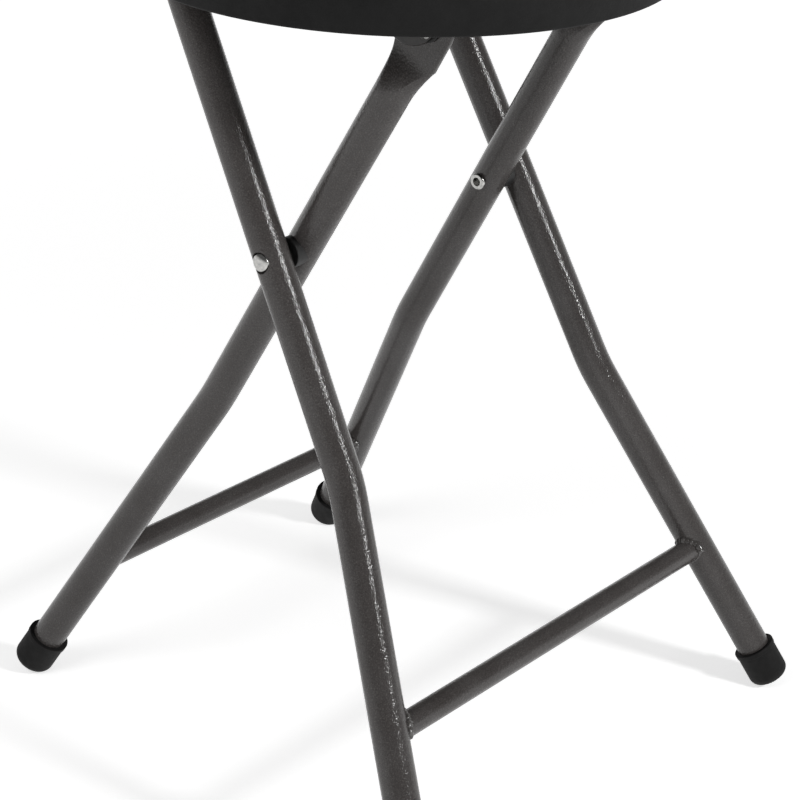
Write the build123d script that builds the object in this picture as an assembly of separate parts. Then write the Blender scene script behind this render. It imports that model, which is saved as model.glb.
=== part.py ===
from build123d import *

import math
import os

# A folding stool: two crossed tube frames riveted together at mid height, and a round moulded seat.
# The inner frame carries the seat on a hinge at its flattened leg tops. The outer frame holds the
# seat level with a top bar that lies in two rests under the seat.
# +Z is up and the floor is at zero. X runs across the stool, along the pivot axis, and the outer
# frame's feet are at -Y. Lengths are millimetres and angles are degrees.

# Frame tubes
tube_diameter = 20.0
tube_wall = 1.2
crossbar_diameter = 14.1
crossbar_wall = 1.2
top_bar_diameter = 16.0
top_bar_wall = 1.2
leg_bend_radius = 90.0
weld_bead = 2.0

# Small rounded edges, as a share of the height of what they round
soft_edge_share = 0.6

# The X of the two frames, with distances measured along the leg plane from the pivot
pivot_height = 308.5
frame_tilt_angle = 29.4
pivot_gap = 4.0
inner_bend_drop = 122.0
outer_bend_drop = 125.0
inner_splay_angle = 12.3
outer_splay_angle = 14.2
inner_convergence_angle = 2.6
outer_convergence_angle = 3.0
inner_crossbar_drop = 258.0
outer_crossbar_drop = 253.0
hinge_reach = 155.0
top_bar_reach = 176.0
leg_top_margin = 2.0

# Flattened tops of the inner legs
flat_thickness = 4.0
flat_start_below_hinge = 43.0
flat_full_below_hinge = 19.0
flat_edge_radius = 1.5
flat_sections = 5
flat_widening_power = 1.6

# Rubber feet
foot_wall = 2.1
foot_length = 24.0
foot_base = 6.0
foot_edge_radius = 5.5
foot_lip = 0.5
foot_lip_height = 3.0
foot_clearance = 0.05
foot_worn_depth = 0.4

# Plastic plugs in the tops of the outer legs
plug_depth = 12.0
plug_cap = 2.0
plug_cap_edge = 1.2
plug_clearance = 0.1

# Rivets, spacers and washers
rivet_radius = 3.0
rivet_head_radius = 5.6
rivet_head_height = 2.2
rivet_head_sink = 2.2
rivet_dish_clearance = 0.25
rivet_tail_radius = 4.8
rivet_tail_height = 1.8
rivet_tail_hollow_radius = 2.6
rivet_tail_hollow_depth = 5.0
running_clearance = 0.05
tight_clearance = 0.02
tail_clearance = 0.5
spacer_radius = 8.5
spacer_clearance = 0.8
washer_radius = 8.0
washer_thickness = 1.2
washer_clearance = 0.1

# Moulded seat
seat_radius = 151.5
seat_draft = 3.5
deck_thickness = 4.5
crest_height = 1.5
crest_width = 21.0
dish_ramp = 20.0
seat_edge_radius = 9.0
seat_soft_radius = 40.0
skirt_depth = 30.0
skirt_wall = 4.0
skirt_edge_radius = 1.5
skirt_root_radius = 5.0
leg_skirt_clearance = 7.042
rib_count = 6
rib_thickness = 2.5
rib_height = 6.0
ring_rib_radius = 58.0

# Rests that hold the top bar under the seat
rest_spacing = 76.0
rest_width = 18.0
rest_base = 3.5
rest_wall = 4.0
rest_ear = 12.0
rest_hook_drop = 3.0
rest_guide_rise = 5.0
rest_clearance = 0.3
rest_boss_height = 5.0

# Hinge brackets
bracket_thickness = 2.5
bracket_end_radius = 19.0
bracket_end_shift = 10.0
bracket_end_rise = 8.0
bracket_flange = 26.0
bracket_boss_height = 12.0
bracket_bend_radius = 2.0
bracket_edge_radius = 1.0

# Screws into the seat
screw_radius = 2.0
screw_head_radius = 4.0
screw_head_height = 2.4
screw_bite = 7.0
boss_margin = 3.0
bracket_screw_spacing = 16.0

STANDING = (Align.CENTER, Align.CENTER, Align.MIN)
HANGING = (Align.CENTER, Align.CENTER, Align.MAX)

tube_radius = tube_diameter / 2
crossbar_radius = crossbar_diameter / 2
top_bar_radius = top_bar_diameter / 2
tilt = math.radians(frame_tilt_angle)


class Frame:
    """One of the two leg frames: lean is +1 where its top leans to +Y and -1 where it leans to -Y."""

    def __init__(self, lean, half_width, bend_drop, splay, convergence):
        self.lean = lean
        self.half_width = half_width
        self.bend_drop = bend_drop
        self.splay = math.radians(splay)
        self.convergence = math.radians(convergence)

    def half_spread(self, reach):
        """Half the distance between the two leg axes at a reach above the pivot."""
        straight = self.half_width - max(reach, -self.bend_drop) * math.tan(self.convergence)
        below_bend = max(-self.bend_drop - reach, 0.0)
        return straight + below_bend * math.tan(self.splay)

    def point(self, x, reach):
        """The point at x across the stool and a reach above the pivot along the leg plane."""
        return Vector(x, self.lean * reach * math.sin(tilt), pivot_height + reach * math.cos(tilt))

    def leg_point(self, reach):
        """The point on the right leg's axis at a reach above the pivot."""
        return self.point(self.half_spread(reach), reach)

    def up(self):
        """The leg plane's own upward direction."""
        return Vector(0, self.lean * math.sin(tilt), math.cos(tilt))

    def foot_base_reach(self):
        """The reach of the middle of the foot's bottom, for a foot that just meets the floor."""
        lean_cosine = math.cos(tilt) * math.cos(self.splay)
        lean_sine = math.sqrt(1 - lean_cosine**2)
        ring_radius = foot_radius - foot_edge_radius
        base_height = ring_radius * lean_sine + foot_edge_radius * (1 - lean_cosine) - foot_worn_depth
        return (base_height - pivot_height) / math.cos(tilt)

    def tube_end_reach(self):
        """The reach of the tube's lower end, which stands on the base inside the foot."""
        return self.foot_base_reach() + foot_base * math.cos(self.splay)


# The outer legs' tops stand just inside the seat's skirt, and that sets how wide the frames are
outer_leg_top = top_bar_reach + top_bar_radius + leg_top_margin
seat_centre = (top_bar_reach - hinge_reach) / 2 * math.sin(tilt)
leg_top_radius = seat_radius - seat_draft - skirt_wall - leg_skirt_clearance - tube_radius
leg_top_offset = outer_leg_top * math.sin(tilt) - seat_centre
leg_top_x = math.sqrt(leg_top_radius**2 - leg_top_offset**2)
outer_half_width = leg_top_x + outer_leg_top * math.tan(math.radians(outer_convergence_angle))
inner_half_width = outer_half_width - tube_diameter - pivot_gap

foot_radius = tube_radius + foot_clearance + foot_wall
inner = Frame(-1, inner_half_width, inner_bend_drop, inner_splay_angle, inner_convergence_angle)
outer = Frame(1, outer_half_width, outer_bend_drop, outer_splay_angle, outer_convergence_angle)

# Places that the frames give to the seat
hinge = inner.point(inner.half_spread(hinge_reach), hinge_reach)
bar = outer.point(0, top_bar_reach)
rest_top = bar.Z + top_bar_radius + rest_clearance + rest_base
deck_bottom = rest_top + rest_boss_height
deck_top = deck_bottom + deck_thickness
rim_bottom = deck_bottom - skirt_depth
flange_top = deck_bottom - bracket_boss_height
bracket_inside = hinge.X + flat_thickness / 2 + washer_thickness + 2 * washer_clearance
bracket_outside = bracket_inside + bracket_thickness
bracket_y = hinge.Y + bracket_end_shift
bracket_z = hinge.Z + bracket_end_rise


def x_cylinder(start, end, radius, y, z):
    """A solid cylinder along X between two x values."""
    return Pos((start + end) / 2, y, z) * Rot(0, 90, 0) * Cylinder(radius, abs(end - start))


def y_z_slab(face, start, end):
    """A sketch drawn in Y and Z, extruded from x start to x end."""
    return extrude(Plane.YZ.offset(start) * face, end - start)


def rod_top(frame):
    """The reach up to which a frame's legs are round."""
    if frame is inner:
        return hinge_reach - flat_start_below_hinge
    return outer_leg_top


def leg_rod(frame, radius):
    """A solid bent rod along the right leg's axis, over the leg's round length."""
    path = FilletPolyline(
        frame.leg_point(frame.tube_end_reach()),
        frame.leg_point(-frame.bend_drop),
        frame.leg_point(rod_top(frame)),
        radius=leg_bend_radius,
    )
    return sweep(Plane(path @ 0, z_dir=path % 0) * Circle(radius), path=path)


def mirrored(right):
    """The left-hand copy of a right-hand piece."""
    return mirror(right, about=Plane.YZ)


def pair_with_mirror(right):
    """A right-hand piece and its left-hand copy as one group of separate solids."""
    return Compound([*right.solids(), *mirrored(right).solids()])


def pivot_hole(radius):
    """A cutter through both walls of both right-hand legs at the pivot."""
    return x_cylinder(0, outer_half_width + 2 * tube_diameter, radius, 0, pivot_height)


def stadium_width(thickness):
    """The width of a flattened tube of this thickness, with the tube's own girth."""
    return thickness + (math.pi * tube_diameter - math.pi * thickness) / 2


def full_outline(quarter):
    """All the points of an outline, from the points of its first quarter."""
    upper = quarter + [(-x, y) for x, y in reversed(quarter[:-1])]
    return upper + [(x, -y) for x, y in reversed(upper[1:-1])]


def flat_outline():
    """The tongue's section in points: the middles and ends of its sides and corners."""
    half = flat_thickness / 2
    edge = stadium_width(flat_thickness) / 2
    inset = flat_edge_radius * (1 - math.sqrt(0.5))
    return full_outline([
        (half, 0),
        (half, edge - flat_edge_radius),
        (half - inset, edge - inset),
        (half - flat_edge_radius, edge),
        (0, edge),
    ])


def round_outline():
    """The round tube's section in points that pair with the tongue's."""
    angles = [math.radians(angle) for angle in (0, 30, 45, 60, 90)]
    return full_outline([(tube_radius * math.cos(angle), tube_radius * math.sin(angle)) for angle in angles])


def outline_through(points):
    """A closed outline of sides and corners, as arcs, or as lines where a side is flat."""
    ring = points[1:] + points[:1]
    edges = []
    for start in range(0, len(ring), 2):
        first, middle, last = ring[start], ring[start + 1], ring[(start + 2) % len(ring)]
        bulge = math.dist(middle, ((first[0] + last[0]) / 2, (first[1] + last[1]) / 2))
        straight = bulge < tight_clearance
        edges.append(Line(first, last) if straight else ThreePointArc(first, middle, last))
    return make_face(edges)


def flattened_section(share):
    """The leg's section in the flattened stretch, from round at share 0 to flat at share 1."""
    thinned = share * share * (3 - 2 * share)
    widened = share**flat_widening_power
    start = hinge_reach - flat_start_below_hinge
    full = hinge_reach - flat_full_below_hinge
    reach = start + share * (full - start)
    x = inner.half_spread(reach) + thinned * (hinge.X - inner.half_spread(reach))
    direction = inner.up() - Vector((1 - thinned) * math.tan(inner.convergence), 0, 0)
    points = [
        (a[0] + thinned * (b[0] - a[0]), a[1] + widened * (b[1] - a[1]))
        for a, b in zip(round_outline(), flat_outline())
    ]
    return Plane(inner.point(x, reach), x_dir=(1, 0, 0), z_dir=direction) * outline_through(points)


def flat_tongue():
    """The flat end of the inner leg's top, round about the hinge and with rounded edges."""
    width = stadium_width(flat_thickness)
    plate = Box(flat_thickness, width, flat_full_below_hinge, align=HANGING)
    plate += Rot(0, 90, 0) * Cylinder(width / 2, flat_thickness)
    outline = plate.edges().filter_by(Axis.X, reverse=True).group_by(Axis.Z)[1:]
    plate = fillet([edge for group in outline for edge in group], flat_edge_radius)
    return Plane(hinge, x_dir=(1, 0, 0), z_dir=inner.up()) * plate


def flattened_top():
    """The inner leg's pressed top: a taper from the round tube, and a flat tongue with a round end."""
    taper = loft([flattened_section(step / (flat_sections - 1)) for step in range(flat_sections)])
    return taper + flat_tongue()


def inner_leg():
    """The inner frame's right leg: a bent tube with a pressed top and its pivot and hinge holes."""
    tube = leg_rod(inner, tube_radius) - leg_rod(inner, tube_radius - tube_wall)
    hinge_hole = x_cylinder(0, outer_half_width, rivet_radius + running_clearance, hinge.Y, hinge.Z)
    return tube + flattened_top() - pivot_hole(rivet_radius + running_clearance) - hinge_hole


def outer_leg():
    """The outer frame's right leg: a bent tube, dished for the rivet's head and cut square at the top."""
    rod = leg_rod(outer, tube_radius)
    tube = rod - leg_rod(outer, tube_radius - tube_wall)
    dish_radius = rivet_head_radius + rivet_dish_clearance
    dish_floor = outer_half_width + tube_radius - rivet_head_sink - tight_clearance
    dish = x_cylinder(dish_floor, dish_floor + tube_radius, dish_radius, 0, pivot_height)
    pressed_wall = x_cylinder(
        dish_floor - tube_wall, dish_floor + tube_radius, dish_radius + tube_wall, 0, pivot_height
    )
    return tube + (rod & pressed_wall) - dish - pivot_hole(rivet_radius + tight_clearance)


def cross_tube(frame, reach, radius, wall):
    """A straight tube between the frame's legs, coped to fit round them."""
    middle = frame.point(0, reach)
    span = frame.half_spread(reach)
    tube = x_cylinder(-span, span, radius, middle.Y, middle.Z)
    tube -= x_cylinder(-span, span, radius - wall, middle.Y, middle.Z)
    leg = leg_rod(frame, tube_radius)
    return tube - leg - mirrored(leg)


def weld_beads(frame, reach, radius):
    """Two weld beads, each a ring in the corner between a cross tube and a leg."""
    middle = frame.point(0, reach)
    span = frame.half_spread(reach)
    ring = x_cylinder(0, span, radius + weld_bead, middle.Y, middle.Z)
    ring -= x_cylinder(0, span, radius, middle.Y, middle.Z)
    ring &= leg_rod(frame, tube_radius + weld_bead)
    return pair_with_mirror(ring - leg_rod(frame, tube_radius))


def foot(frame):
    """A rubber cup on the right leg's lower end, worn flat where it meets the floor."""
    base = frame.leg_point(frame.foot_base_reach())
    along = frame.leg_point(frame.tube_end_reach()) - base
    cup = Cylinder(foot_radius, foot_length, align=STANDING)
    cup = fillet(cup.edges().sort_by(Axis.Z)[0], foot_edge_radius)
    lip_start = foot_length - foot_lip_height
    lip = Pos(0, 0, lip_start) * Cylinder(foot_radius + foot_lip, foot_lip_height, align=STANDING)
    lip = fillet(lip.edges(), foot_lip * soft_edge_share)
    bore = Pos(0, 0, foot_base) * Cylinder(tube_radius + foot_clearance, foot_length, align=STANDING)
    cup = Plane(base, z_dir=along) * (cup + lip - bore)
    floor = Pos(base.X, base.Y, -foot_length) * Box(4 * foot_length, 4 * foot_length, 2 * foot_length)
    return cup - floor


def top_plug():
    """A plastic plug in the right outer leg's open top."""
    top = rod_top(outer)
    along = outer.leg_point(top) - outer.leg_point(0)
    insert_radius = tube_radius - tube_wall - plug_clearance
    insert = Cylinder(insert_radius, plug_depth, align=HANGING)
    cap = Cylinder(tube_radius, plug_cap, align=STANDING)
    cap = fillet(cap.edges().sort_by(Axis.Z)[-1], plug_cap_edge)
    return Plane(outer.leg_point(top), z_dir=along) * (insert + cap)


def dome(radius, height):
    """A low dome that stands on its flat face."""
    outline = TangentArc((0, height), (radius, 0), tangent=(1, 0))
    outline += Polyline((radius, 0), (0, 0), (0, height))
    return revolve(Plane.XZ * make_face(outline), axis=Axis.Z)


def rivet(head_seat, tail_seat, y, z):
    """A semi-tubular rivet along X: a domed head outside and a rolled, hollow tail inside."""
    head = Pos(head_seat, y, z) * Rot(0, 90, 0) * dome(rivet_head_radius, rivet_head_height)
    tail_end = tail_seat - rivet_tail_height
    tail = x_cylinder(tail_end, tail_seat, rivet_tail_radius, y, z)
    tail = fillet(tail.edges().group_by(Axis.X)[0], rivet_tail_height * soft_edge_share)
    shank = x_cylinder(tail_end, head_seat, rivet_radius, y, z)
    hollow = x_cylinder(tail_end, tail_end + rivet_tail_hollow_depth, rivet_tail_hollow_radius, y, z)
    return head + shank + tail - hollow


def pivot_rivet():
    """The right-hand rivet that joins the two frames, with its head in the outer leg's dish."""
    head_seat = outer_half_width + tube_radius - rivet_head_sink
    tail_seat = inner_half_width - tube_radius - tail_clearance
    return rivet(head_seat, tail_seat, 0, pivot_height)


def hinge_rivet():
    """The right-hand rivet that hangs the seat's bracket on the inner leg's flattened top."""
    tail_seat = hinge.X - flat_thickness / 2 - washer_clearance
    return rivet(bracket_outside, tail_seat, hinge.Y, hinge.Z)


def pivot_spacer():
    """A plastic spacer bedded on the right inner leg, between it and the outer leg."""
    face = outer_half_width - tube_radius - spacer_clearance
    blank = x_cylinder(inner_half_width, face, spacer_radius, 0, pivot_height)
    blank = fillet(blank.edges().group_by(Axis.X)[-1], tube_wall / 2)
    leg = leg_rod(inner, tube_radius + tight_clearance)
    return blank - leg - pivot_hole(rivet_radius + running_clearance)


def hinge_washer():
    """A flat washer between the right bracket and the inner leg's flattened top."""
    start = hinge.X + flat_thickness / 2 + washer_clearance
    ring = x_cylinder(start, start + washer_thickness, washer_radius, hinge.Y, hinge.Z)
    return ring - x_cylinder(0, bracket_outside, rivet_radius + running_clearance, hinge.Y, hinge.Z)


def bracket_screw_places():
    """Where the right bracket's screws stand, in plan."""
    x = (bracket_outside + bracket_inside + bracket_flange) / 2
    return [(x, bracket_y - bracket_screw_spacing / 2), (x, bracket_y + bracket_screw_spacing / 2)]


def rest_screw_places():
    """Where the right bar rest's screws stand, in plan."""
    offset = top_bar_radius + rest_clearance + rest_wall + rest_ear / 2
    return [(rest_spacing / 2, bar.Y - offset), (rest_spacing / 2, bar.Y + offset)]


def screw(place, head_top, grip):
    """A pan-head screw driven up from below, with its head's upper face at head_top."""
    head = Cylinder(screw_head_radius, screw_head_height, align=HANGING)
    head = fillet(head.edges().sort_by(Axis.Z)[0], screw_head_height * soft_edge_share)
    shank = Cylinder(screw_radius, grip + screw_bite - screw_radius, align=STANDING)
    tip_start = Pos(0, 0, grip + screw_bite - screw_radius)
    tip = tip_start * Cone(screw_radius, screw_radius / 4, screw_radius, align=STANDING)
    return Pos(*place, head_top) * (head + shank + tip)


def screw_hole(place, bottom):
    """A blind hole for a screw's shank, up from a boss's lower face."""
    depth = screw_bite + 2 * running_clearance
    return Pos(*place, bottom) * Cylinder(screw_radius + running_clearance, depth, align=STANDING)


def hinge_bracket():
    """The right bracket: a folded sheet with a round-ended tab and a flange that is screwed to the seat."""
    disc = x_cylinder(bracket_inside, bracket_outside, bracket_end_radius, bracket_y, bracket_z)
    disc = fillet(disc.edges().group_by(Axis.X)[-1], bracket_edge_radius)
    flange_bottom = flange_top - bracket_thickness
    upper_middle = Pos(
        (bracket_inside + bracket_outside) / 2, bracket_y, (bracket_z + flange_bottom) / 2
    )
    upper = upper_middle * Box(bracket_thickness, 2 * bracket_end_radius, flange_bottom - bracket_z)
    upper = fillet(upper.edges().filter_by(Axis.Z).group_by(Axis.X)[-1], bracket_edge_radius)
    flange_middle = Pos(
        bracket_inside + bracket_flange / 2, bracket_y, (flange_bottom + flange_top) / 2
    )
    flange = flange_middle * Box(bracket_flange, 2 * bracket_end_radius, bracket_thickness)
    bend = flange.edges().filter_by(Axis.Y).group_by(Axis.Z)[-1].sort_by(Axis.X)[0]
    sheet = disc + upper + fillet(bend, bracket_bend_radius)
    sheet -= x_cylinder(0, outer_half_width, rivet_radius + tight_clearance, hinge.Y, hinge.Z)
    for place in bracket_screw_places():
        drill = Cylinder(screw_radius + running_clearance, 4 * bracket_thickness)
        sheet -= Pos(*place, flange_top) * drill
    return sheet


def bar_rest():
    """The right rest: a hooked saddle over the top bar, with an ear for a screw on each side."""
    groove = top_bar_radius + rest_clearance
    half_length = groove + rest_wall
    hook_bottom = bar.Z - rest_hook_drop
    block = Pos(bar.Y, (hook_bottom + rest_top) / 2) * Rectangle(2 * half_length, rest_top - hook_bottom)
    guide_bottom = bar.Z + rest_guide_rise
    cut_middle = Pos(bar.Y - half_length / 2, (hook_bottom + guide_bottom) / 2)
    block -= cut_middle * Rectangle(half_length, guide_bottom - hook_bottom)
    ears = Pos(bar.Y, rest_top - rest_base / 2) * Rectangle(2 * (half_length + rest_ear), rest_base)
    face = block + ears - Pos(bar.Y, bar.Z) * Circle(groove)
    saddle = y_z_slab(face, (rest_spacing - rest_width) / 2, (rest_spacing + rest_width) / 2)
    for place in rest_screw_places():
        saddle -= Pos(*place, rest_top) * Cylinder(screw_radius + running_clearance, 4 * rest_base)
    return saddle


def seat_bosses():
    """Pads under the deck, on both sides, that the right and left brackets and rests are screwed to."""
    bosses = []
    for place in bracket_screw_places():
        bosses.append(Pos(*place, flange_top) * boss(bracket_boss_height))
    for place in rest_screw_places():
        bosses.append(Pos(*place, rest_top) * boss(rest_boss_height))
    right = bosses[0].fuse(*bosses[1:])
    return [*right.solids(), *mirrored(right).solids()]


def boss(height):
    """A round screw boss that stands on its lower face and runs into the deck."""
    return Cylinder(screw_radius + boss_margin, height + deck_thickness / 2, align=STANDING)


def seat_ribs():
    """Stiffening ribs under the deck: a ring and straight ribs from it out to the skirt."""
    rib_middle = deck_bottom - rib_height / 2 + deck_thickness / 4
    height = rib_height + deck_thickness / 2
    ring = Cylinder(ring_rib_radius + rib_thickness, height) - Cylinder(ring_rib_radius, height)
    reach = seat_radius - seat_draft - skirt_wall / 2
    length = reach - ring_rib_radius - rib_thickness / 2
    rib = Pos((reach + ring_rib_radius + rib_thickness / 2) / 2, 0, 0) * Box(length, rib_thickness, height)
    ribs = [Rot(0, 0, (step + 0.5) * 360 / rib_count) * rib for step in range(rib_count)]
    return [Pos(0, seat_centre, rib_middle) * piece for piece in (ring, *ribs)]


def seat_shell():
    """The moulded seat: a dished deck, a rounded edge, a skirt, ribs and screw bosses."""
    crest = deck_top + crest_height
    rim_radius = seat_radius - seat_draft
    crest_start = seat_radius - crest_width
    outline = FilletPolyline(
        (0, deck_top),
        (crest_start - dish_ramp, deck_top),
        (crest_start, crest),
        (seat_radius, crest),
        (rim_radius, rim_bottom),
        (rim_radius - skirt_wall, rim_bottom),
        (seat_radius - skirt_wall, deck_bottom),
        (0, deck_bottom),
        radius=[
            seat_soft_radius,
            seat_soft_radius,
            seat_edge_radius,
            skirt_edge_radius,
            skirt_edge_radius,
            skirt_root_radius,
        ],
    )
    outline += Line((0, deck_bottom), (0, deck_top))
    shell = revolve(Plane.XZ * make_face(outline), axis=Axis.Z)
    shell = Pos(0, seat_centre, 0) * shell
    shell = shell.fuse(*seat_ribs(), *seat_bosses())
    holes = [screw_hole(place, flange_top) for place in bracket_screw_places()]
    holes += [screw_hole(place, rest_top) for place in rest_screw_places()]
    for hole in holes:
        shell -= hole
        shell -= mirrored(hole)
    return shell


def bracket_screws():
    """The screws of both brackets."""
    head_top = flange_top - bracket_thickness
    screws = [screw(place, head_top, bracket_thickness) for place in bracket_screw_places()]
    return pair_with_mirror(Compound(screws))


def rest_screws():
    """The screws of both bar rests."""
    head_top = rest_top - rest_base
    screws = [screw(place, head_top, rest_base) for place in rest_screw_places()]
    return pair_with_mirror(Compound(screws))


one_offs = {
    "seat_shell": seat_shell(),
    "hinge_bracket_screws": bracket_screws(),
    "bar_rest_screws": rest_screws(),
    "inner_crossbar": cross_tube(inner, -inner_crossbar_drop, crossbar_radius, crossbar_wall),
    "inner_crossbar_welds": weld_beads(inner, -inner_crossbar_drop, crossbar_radius),
    "outer_crossbar": cross_tube(outer, -outer_crossbar_drop, crossbar_radius, crossbar_wall),
    "outer_crossbar_welds": weld_beads(outer, -outer_crossbar_drop, crossbar_radius),
    "outer_top_bar": cross_tube(outer, top_bar_reach, top_bar_radius, top_bar_wall),
    "outer_top_bar_welds": weld_beads(outer, top_bar_reach, top_bar_radius),
}

pairs = {
    "inner_{}_leg": inner_leg(),
    "outer_{}_leg": outer_leg(),
    "inner_{}_foot": foot(inner),
    "outer_{}_foot": foot(outer),
    "outer_{}_top_plug": top_plug(),
    "{}_pivot_rivet": pivot_rivet(),
    "{}_pivot_spacer": pivot_spacer(),
    "{}_hinge_bracket": hinge_bracket(),
    "{}_hinge_rivet": hinge_rivet(),
    "{}_hinge_washer": hinge_washer(),
    "{}_bar_rest": bar_rest(),
}

os.makedirs("parts", exist_ok=True)
for name, shape in one_offs.items():
    export_step(shape, f"parts/{name}.step")
for name, right in pairs.items():
    export_step(right, f"parts/{name.format('right')}.step")
    export_step(mirrored(right), f"parts/{name.format('left')}.step")
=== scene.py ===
import math

import bmesh
import bpy
from mathutils import Matrix, Vector


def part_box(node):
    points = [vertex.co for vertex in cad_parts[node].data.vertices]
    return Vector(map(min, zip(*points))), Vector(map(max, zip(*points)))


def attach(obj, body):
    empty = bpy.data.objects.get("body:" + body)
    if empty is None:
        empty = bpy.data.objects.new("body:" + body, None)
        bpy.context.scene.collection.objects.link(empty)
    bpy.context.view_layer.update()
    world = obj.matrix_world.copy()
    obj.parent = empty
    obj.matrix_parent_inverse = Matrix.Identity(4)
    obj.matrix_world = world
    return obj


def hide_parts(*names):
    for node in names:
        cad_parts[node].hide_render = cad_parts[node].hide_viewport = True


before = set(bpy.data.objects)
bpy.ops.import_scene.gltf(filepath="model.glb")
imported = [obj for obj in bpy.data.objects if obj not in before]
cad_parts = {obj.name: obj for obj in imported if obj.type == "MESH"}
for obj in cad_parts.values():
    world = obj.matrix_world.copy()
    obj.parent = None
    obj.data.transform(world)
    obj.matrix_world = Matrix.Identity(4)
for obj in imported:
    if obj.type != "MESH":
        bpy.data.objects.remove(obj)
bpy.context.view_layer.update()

# The looks of the folding stool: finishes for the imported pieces, rippled weld beads in place of the
# plain ones, fuller rivet heads and a white studio. Lengths are metres and angles are degrees.

# Camera
camera_place = (-0.909765, -0.766897, 0.749941)
camera_yaw = 50.0238
camera_pitch = 25.1085
camera_roll = 1.9551
focal_length = 102.572
sensor_width = 36.0

# Light
stage_centre = Vector((0.0, 0.0, 0.25))
ambient_level = 1.1
wall_top = 0.02
ceiling_start = 0.32
ceiling_tone = 0.14
key_direction = (0.17, -0.85, 0.50)
key_distance = 1.7
key_size = 0.22
key_power = 13.0
side_direction = (-0.78, 0.08, 0.62)
side_distance = 1.8
side_size = 0.9
side_power = 9.0
floor_half_size = 12.0
floor_colour = (0.93, 0.93, 0.93)
floor_roughness = 0.18
floor_gloss = 0.35
lift_near = 0.575
lift_near_reach = 0.15
lift_far = 0.785
lift_far_reach = 1.6

# The two hands of the stool, and the side of each along X
sides = {"left": -1, "right": 1}

# Weld beads: full where the welder's run was, and a thin fillet on the rest of the joint
bead_full_radius = 0.0022
bead_thin_radius = 0.0006
bead_ripple = 0.0020
bead_ripple_depth = 0.6
bead_ripple_middle = 0.6
bead_slow_waves = 5
bead_slow_height = 0.14
bead_quick_waves = 11
bead_quick_height = 0.1
bead_wave_shift = 9
bead_phases = {"left": 0.2, "right": 0.8}
bead_sections = 14
bead_steps = 300
top_run = Vector((0.0, -0.15, 1.0)).normalized()
front_run = Vector((0.0, -0.5, 0.87)).normalized()
run_edge_low = -0.05
run_edge_high = 0.45

# Rivet crowns: a thin rim and a full dome over each pivot rivet's packed head
rivet_head_height = 0.0022
crown_cover = 0.00008
crown_rim = 0.0005
crown_lip = 0.0003
crown_rise = 0.0026
crown_rings = 14
crown_segments = 80
crown_crease = 35.0


def linear(red, green, blue):
    """A colour from 0 to 255 as it looks on a screen, as the four linear values that a shader takes."""
    def channel(value):
        share = value / 255
        return share / 12.92 if share <= 0.04045 else ((share + 0.055) / 1.055) ** 2.4
    return (channel(red), channel(green), channel(blue), 1.0)


class Finish:
    """One procedural material, built round a Principled shader on the pieces' own coordinates."""

    def __init__(self, name, **sockets):
        self.material = bpy.data.materials.new(name)
        self.material.use_nodes = True
        self.tree = self.material.node_tree
        self.shader = self.tree.nodes["Principled BSDF"]
        for socket, value in sockets.items():
            self.shader.inputs[socket.replace("_", " ")].default_value = value
        self.coordinates = self.tree.nodes.new("ShaderNodeTexCoord").outputs["Object"]

    def link(self, output, socket):
        """Joins an output to one of the Principled shader's sockets."""
        self.tree.links.new(output, self.shader.inputs[socket])

    def noise(self, size, detail=2.0, roughness=0.5):
        """Cloudy noise with features of about this size."""
        node = self.tree.nodes.new("ShaderNodeTexNoise")
        node.inputs["Scale"].default_value = 1 / size
        node.inputs["Detail"].default_value = detail
        node.inputs["Roughness"].default_value = roughness
        self.tree.links.new(self.coordinates, node.inputs["Vector"])
        return node.outputs["Fac"]

    def pebbles(self, size):
        """Rounded pebbles of about this size."""
        node = self.tree.nodes.new("ShaderNodeTexVoronoi")
        node.feature = "SMOOTH_F1"
        node.inputs["Scale"].default_value = 1 / size
        self.tree.links.new(self.coordinates, node.inputs["Vector"])
        return node.outputs["Distance"]

    def ramp(self, factor, *stops):
        """A colour ramp through stops of a place and a colour."""
        node = self.tree.nodes.new("ShaderNodeValToRGB")
        elements = node.color_ramp.elements
        while len(elements) < len(stops):
            elements.new(1.0)
        for element, (place, colour) in zip(elements, stops):
            element.position = place
            element.color = colour
        self.tree.links.new(factor, node.inputs["Fac"])
        return node.outputs["Color"]

    def spread(self, factor, low, high):
        """A factor from 0 to 1 spread between two values."""
        node = self.tree.nodes.new("ShaderNodeMapRange")
        node.inputs["To Min"].default_value = low
        node.inputs["To Max"].default_value = high
        self.tree.links.new(factor, node.inputs["Value"])
        return node.outputs["Result"]

    def multiply(self, first, second):
        """Two colours multiplied."""
        node = self.tree.nodes.new("ShaderNodeMix")
        node.data_type = "RGBA"
        node.blend_type = "MULTIPLY"
        node.inputs["Factor"].default_value = 1.0
        colour_inputs = [socket for socket in node.inputs if socket.type == "RGBA"]
        for socket, colour in zip(colour_inputs, (first, second)):
            self.tree.links.new(colour, socket)
        return next(socket for socket in node.outputs if socket.type == "RGBA")

    def bump(self, height, depth, strength=1.0, below=None):
        """A bump of this depth from a height, on top of another bump where one is given."""
        node = self.tree.nodes.new("ShaderNodeBump")
        node.inputs["Distance"].default_value = depth
        node.inputs["Strength"].default_value = strength
        self.tree.links.new(height, node.inputs["Height"])
        if below is not None:
            self.tree.links.new(below, node.inputs["Normal"])
        return node.outputs["Normal"]


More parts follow.
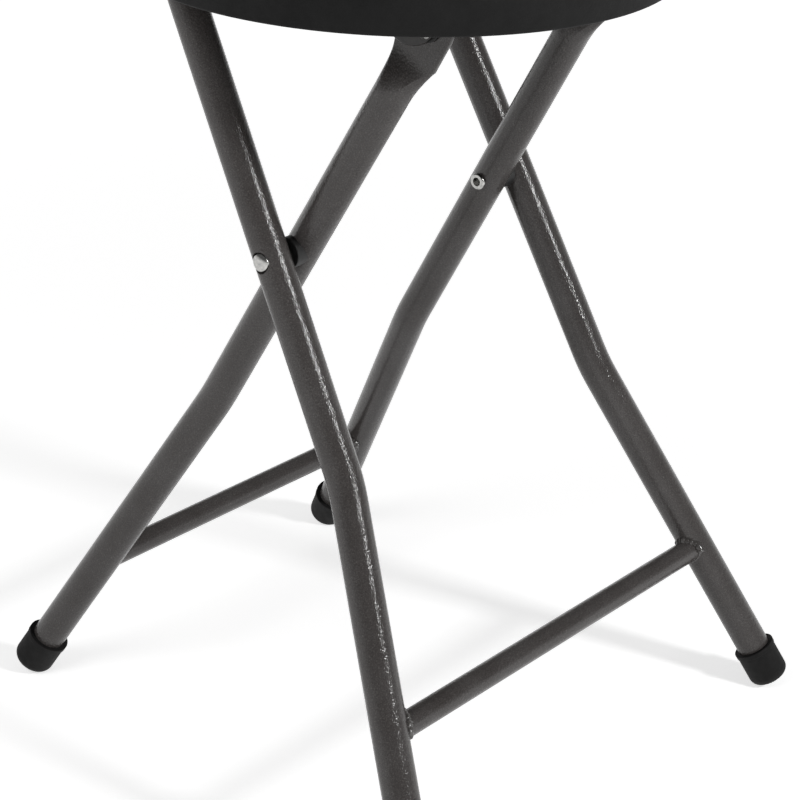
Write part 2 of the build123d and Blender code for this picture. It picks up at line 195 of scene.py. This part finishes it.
def hammertone_paint():
    """Dark warm grey hammered paint: a fine speckle, a lumpy skin and a sparkling gloss."""
    finish = Finish("hammertone_paint", Specular_IOR_Level=0.36)
    speckle = finish.ramp(
        finish.noise(0.0007, detail=3.0, roughness=0.6),
        (0.30, linear(64, 61, 60)),
        (0.55, linear(78, 75, 74)),
        (0.75, linear(101, 98, 96)),
    )
    clouds = finish.ramp(
        finish.noise(0.03),
        (0.3, linear(225, 222, 220)),
        (0.7, linear(255, 255, 255)),
    )
    finish.link(finish.multiply(speckle, clouds), "Base Color")
    finish.link(finish.spread(finish.noise(0.0011), 0.10, 0.22), "Roughness")
    lumps = finish.bump(finish.noise(0.0013, detail=1.0), 0.00019)
    finish.link(finish.bump(finish.noise(0.0008), 0.00011, below=lumps), "Normal")
    return finish.material


def weld_paint():
    """The frame's paint where it has flowed over a weld bead: glossier, and with a finer skin."""
    finish = Finish("weld_paint", Specular_IOR_Level=0.8)
    tone = finish.ramp(
        finish.noise(0.0007, detail=3.0, roughness=0.6),
        (0.30, linear(58, 55, 54)),
        (0.70, linear(88, 85, 83)),
    )
    finish.link(tone, "Base Color")
    finish.link(finish.spread(finish.noise(0.0011), 0.2, 0.3), "Roughness")
    finish.link(finish.bump(finish.noise(0.0009), 0.00004), "Normal")
    return finish.material


def moulded_seat():
    """Matt black moulded plastic with a fine pebbled grain."""
    finish = Finish("moulded_seat", Specular_IOR_Level=0.16)
    tone = finish.ramp(
        finish.noise(0.02, detail=4.0),
        (0.3, linear(20, 20, 20)),
        (0.7, linear(27, 27, 27)),
    )
    finish.link(tone, "Base Color")
    finish.link(finish.spread(finish.noise(0.004), 0.55, 0.72), "Roughness")
    grain = finish.bump(finish.pebbles(0.0011), 0.00012, strength=0.6)
    finish.link(finish.bump(finish.noise(0.0004), 0.00003, below=grain), "Normal")
    return finish.material


def satin_plastic():
    """Plain black plastic of the spacers, plugs, washers and rests."""
    finish = Finish("satin_plastic", Specular_IOR_Level=0.35)
    tone = finish.ramp(
        finish.noise(0.006, detail=3.0),
        (0.3, linear(18, 18, 18)),
        (0.7, linear(27, 27, 27)),
    )
    finish.link(tone, "Base Color")
    finish.link(finish.spread(finish.noise(0.002), 0.38, 0.55), "Roughness")
    finish.link(finish.bump(finish.noise(0.0007), 0.00004), "Normal")
    return finish.material


def black_paint():
    """Black satin paint of the hinge brackets, a little uneven."""
    finish = Finish("black_paint", Specular_IOR_Level=0.4)
    tone = finish.ramp(
        finish.noise(0.004, detail=4.0),
        (0.3, linear(25, 23, 22)),
        (0.7, linear(37, 34, 32)),
    )
    finish.link(tone, "Base Color")
    finish.link(finish.spread(finish.noise(0.0012), 0.28, 0.42), "Roughness")
    finish.link(finish.bump(finish.noise(0.0014), 0.00008), "Normal")
    return finish.material


def foot_rubber():
    """Dull black rubber with a little dust and a skin that is not quite even."""
    finish = Finish("dull_rubber", Specular_IOR_Level=0.25)
    tone = finish.ramp(
        finish.noise(0.005, detail=5.0, roughness=0.6),
        (0.35, linear(14, 14, 14)),
        (0.75, linear(22, 21, 21)),
    )
    finish.link(tone, "Base Color")
    finish.link(finish.spread(finish.noise(0.003), 0.58, 0.8), "Roughness")
    finish.link(finish.bump(finish.noise(0.0009, detail=3.0), 0.00008), "Normal")
    return finish.material


def plated_steel():
    """Bright plated steel with fine handling marks."""
    finish = Finish("bright_plating", Metallic=1.0)
    tone = finish.ramp(
        finish.noise(0.002, detail=4.0),
        (0.3, linear(158, 158, 157)),
        (0.7, linear(192, 191, 188)),
    )
    finish.link(tone, "Base Color")
    finish.link(finish.spread(finish.noise(0.0008, detail=4.0), 0.12, 0.24), "Roughness")
    finish.link(finish.bump(finish.noise(0.0005), 0.00002), "Normal")
    return finish.material


def bead_ring(leg, bar_middle, bar_radius, side, run):
    """The line where a cross bar meets a leg: points, outward directions and how full the bead is."""
    ring = []
    towards = Vector((side, 0, 0))
    for step in range(bead_steps):
        angle = 2 * math.pi * step / bead_steps
        out = Vector((0, math.cos(angle), math.sin(angle)))
        found, place, normal, _ = leg.ray_cast(bar_middle + out * bar_radius, towards)
        if not found:
            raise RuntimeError("a cross bar's edge does not reach its leg")
        share = (out.dot(run) - run_edge_low) / (run_edge_high - run_edge_low)
        share = min(max(share, 0.0), 1.0)
        ring.append((place, (out + normal).normalized(), share * share * (3 - 2 * share)))
    return ring


def add_bead(mesh, ring, phase):
    """Adds a rippled bead along a closed line to a mesh."""
    rows = []
    travelled = 0.0
    length = sum((ring[i][0] - ring[i - 1][0]).length for i in range(len(ring)))
    ripples = round(length / bead_ripple)
    for index, (place, out, share) in enumerate(ring):
        travelled += (place - ring[index - 1][0]).length if index else 0.0
        along = (ring[(index + 1) % len(ring)][0] - ring[index - 1][0]).normalized()
        across = along.cross(out).normalized()
        turn = travelled / length
        wave = (turn * ripples + phase) % 1.0
        slow = bead_slow_height * math.sin(bead_slow_waves * turn * math.tau + bead_wave_shift * phase)
        quick = bead_quick_height * math.sin(bead_quick_waves * turn * math.tau)
        ripple = bead_ripple_depth * (math.sqrt(wave) - bead_ripple_middle)
        swell = 1 + share * (ripple + slow + quick)
        radius = swell * (bead_thin_radius + share * (bead_full_radius - bead_thin_radius))
        row = []
        for section in range(bead_sections):
            angle = math.tau * section / bead_sections
            offset = out * math.cos(angle) + across * math.sin(angle)
            row.append(mesh.verts.new(place + offset * radius))
        rows.append(row)
    for index, row in enumerate(rows):
        following = rows[(index + 1) % len(rows)]
        for section in range(bead_sections):
            after = (section + 1) % bead_sections
            face = mesh.faces.new((row[section], row[after], following[after], following[section]))
            face.smooth = True


def add_piece(name, mesh, body, material):
    """Makes an object of a finished mesh, which rides on a body and takes its finish from a slot."""
    bmesh.ops.recalc_face_normals(mesh, faces=mesh.faces)
    data = bpy.data.meshes.new(name)
    mesh.to_mesh(data)
    mesh.free()
    piece = bpy.data.objects.new(name, data)
    bpy.context.scene.collection.objects.link(piece)
    data.materials.append(material)
    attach(piece, body)
    return piece


def weld_beads(bar, legs, body, left_run, right_run):
    """Two rippled beads, where a cross bar meets its two legs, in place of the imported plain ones."""
    low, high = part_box(bar)
    middle = (low + high) / 2
    radius = (high.z - low.z) / 2
    mesh = bmesh.new()
    for hand, run in (("left", left_run), ("right", right_run)):
        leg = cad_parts[legs.format(hand)]
        add_bead(mesh, bead_ring(leg, middle, radius, sides[hand], run), bead_phases[hand])
    piece = add_piece(f"{bar}_beads", mesh, body, finishes["weld_paint"])
    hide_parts(f"{bar}_welds")


def rivet_crown(hand):
    """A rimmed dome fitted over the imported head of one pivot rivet."""
    side = sides[hand]
    low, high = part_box(f"{hand}_pivot_rivet")
    middle = (low + high) / 2
    radius = (high.z - low.z) / 2 + crown_cover
    seat = max(abs(low.x), abs(high.x)) - rivet_head_height
    profile = [(0.0, radius), (crown_rim, radius)]
    for ring in range(crown_rings):
        angle = math.pi / 2 * ring / crown_rings
        profile.append((crown_rim + crown_rise * math.sin(angle), (radius - crown_lip) * math.cos(angle)))
    mesh = bmesh.new()
    rows = []
    for height, reach in profile:
        row = []
        for segment in range(crown_segments):
            turn = math.tau * segment / crown_segments
            across = Vector((0, reach * math.cos(turn), reach * math.sin(turn)))
            row.append(mesh.verts.new(Vector((side * (seat + height), middle.y, middle.z)) + across))
        rows.append(row)
    peak = mesh.verts.new((side * (seat + crown_rim + crown_rise), middle.y, middle.z))
    mesh.faces.new(rows[0])
    for segment in range(crown_segments):
        after = (segment + 1) % crown_segments
        mesh.faces.new((rows[-1][segment], rows[-1][after], peak))
        for lower, upper in zip(rows, rows[1:]):
            mesh.faces.new((lower[segment], lower[after], upper[after], upper[segment]))
    for face in mesh.faces:
        face.smooth = True
    for edge in mesh.edges:
        edge.smooth = edge.calc_face_angle() < math.radians(crown_crease)
    add_piece(f"{hand}_rivet_crown", mesh, "outer_frame", finishes["plated_steel"])


def area_light(name, direction, distance, size, power, reflected):
    """A square soft box that looks at the middle of the stool, mirrored in gloss or not."""
    light = bpy.data.lights.new(name, "AREA")
    light.size = size
    light.energy = power
    lamp = bpy.data.objects.new(name, light)
    towards = Vector(direction).normalized()
    lamp.location = stage_centre + towards * distance
    lamp.visible_glossy = reflected
    lamp.rotation_mode = "QUATERNION"
    lamp.rotation_quaternion = (-towards).to_track_quat("-Z", "Y")
    bpy.context.scene.collection.objects.link(lamp)


def seen_rays(tree):
    """The share of rays that see the studio: those of the camera, of gloss and of glass."""
    path = tree.nodes.new("ShaderNodeLightPath")
    total = path.outputs["Is Camera Ray"]
    for name in ("Is Glossy Ray", "Is Transmission Ray"):
        node = tree.nodes.new("ShaderNodeMath")
        node.operation = "MAXIMUM"
        tree.links.new(total, node.inputs[0])
        tree.links.new(path.outputs[name], node.inputs[1])
        total = node.outputs[0]
    return total


def white_world():
    """White studio walls under a dim ceiling: full white where seen, and the ambient level as light."""
    world = bpy.data.worlds.new("studio")
    world.use_nodes = True
    tree = world.node_tree
    coordinates = tree.nodes.new("ShaderNodeTexCoord")
    split = tree.nodes.new("ShaderNodeSeparateXYZ")
    tree.links.new(coordinates.outputs["Generated"], split.inputs[0])
    walls = tree.nodes.new("ShaderNodeValToRGB")
    tree.links.new(split.outputs["Z"], walls.inputs["Fac"])
    low, high = walls.color_ramp.elements
    low.position = wall_top
    low.color = (1.0, 1.0, 1.0, 1.0)
    high.position = ceiling_start
    high.color = (ceiling_tone, ceiling_tone, ceiling_tone, 1.0)
    lighting = tree.nodes["Background"]
    lighting.inputs["Strength"].default_value = ambient_level
    seen = tree.nodes.new("ShaderNodeBackground")
    seen.inputs["Strength"].default_value = 1.0
    for background in (lighting, seen):
        tree.links.new(walls.outputs["Color"], background.inputs["Color"])
    chosen = tree.nodes.new("ShaderNodeMixShader")
    tree.links.new(seen_rays(tree), chosen.inputs[0])
    tree.links.new(lighting.outputs[0], chosen.inputs[1])
    tree.links.new(seen.outputs[0], chosen.inputs[2])
    tree.links.new(chosen.outputs[0], tree.nodes["World Output"].inputs["Surface"])
    bpy.context.scene.world = world


def white_floor():
    """A plain pale floor that keeps the stool's shadow, and is lifted to white away from the lamps."""
    mesh = bmesh.new()
    bmesh.ops.create_grid(mesh, x_segments=1, y_segments=1, size=floor_half_size)
    data = bpy.data.meshes.new("floor")
    mesh.to_mesh(data)
    mesh.free()
    floor = bpy.data.objects.new("floor", data)
    bpy.context.scene.collection.objects.link(floor)
    material = bpy.data.materials.new("floor")
    material.use_nodes = True
    tree = material.node_tree
    shader = tree.nodes["Principled BSDF"]
    shader.inputs["Base Color"].default_value = (*floor_colour, 1.0)
    shader.inputs["Roughness"].default_value = floor_roughness
    shader.inputs["Specular IOR Level"].default_value = floor_gloss
    shader.inputs["Emission Color"].default_value = (1.0, 1.0, 1.0, 1.0)
    distance = tree.nodes.new("ShaderNodeVectorMath")
    distance.operation = "LENGTH"
    tree.links.new(tree.nodes.new("ShaderNodeTexCoord").outputs["Object"], distance.inputs[0])
    level = tree.nodes.new("ShaderNodeMapRange")
    level.inputs["From Min"].default_value = lift_near_reach
    level.inputs["From Max"].default_value = lift_far_reach
    level.inputs["To Min"].default_value = lift_near
    level.inputs["To Max"].default_value = lift_far
    tree.links.new(distance.outputs["Value"], level.inputs["Value"])
    lift = tree.nodes.new("ShaderNodeMath")
    lift.operation = "MULTIPLY"
    tree.links.new(seen_rays(tree), lift.inputs[0])
    tree.links.new(level.outputs["Result"], lift.inputs[1])
    tree.links.new(lift.outputs[0], shader.inputs["Emission Strength"])
    data.materials.append(material)


def add_camera():
    """The camera at the photograph's viewing angle."""
    data = bpy.data.cameras.new("camera")
    data.lens = focal_length
    data.sensor_width = sensor_width
    camera = bpy.data.objects.new("camera", data)
    turn = Matrix.Rotation(-math.radians(camera_yaw), 4, "Z")
    turn @= Matrix.Rotation(math.radians(90 - camera_pitch), 4, "X")
    turn @= Matrix.Rotation(math.radians(camera_roll), 4, "Z")
    camera.matrix_world = Matrix.Translation(camera_place) @ turn
    bpy.context.scene.collection.objects.link(camera)
    bpy.context.scene.camera = camera


finishes = {
    "frame_paint": hammertone_paint(),
    "weld_paint": weld_paint(),
    "bracket_paint": black_paint(),
    "seat_plastic": moulded_seat(),
    "black_plastic": satin_plastic(),
    "foot_rubber": foot_rubber(),
    "plated_steel": plated_steel(),
}
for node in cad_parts.values():
    node.material_slots[0].material = finishes[node.material_slots[0].material.name]

weld_beads("inner_crossbar", "inner_{}_leg", "inner_frame", top_run, top_run)
weld_beads("outer_crossbar", "outer_{}_leg", "outer_frame", front_run, top_run)
weld_beads("outer_top_bar", "outer_{}_leg", "outer_frame", top_run, top_run)
for hand in sides:
    rivet_crown(hand)

white_world()
white_floor()
area_light("key_light", key_direction, key_distance, key_size, key_power, reflected=True)
area_light("side_light", side_direction, side_distance, side_size, side_power, reflected=False)
add_camera()
bpy.context.scene.view_settings.view_transform = "Standard"
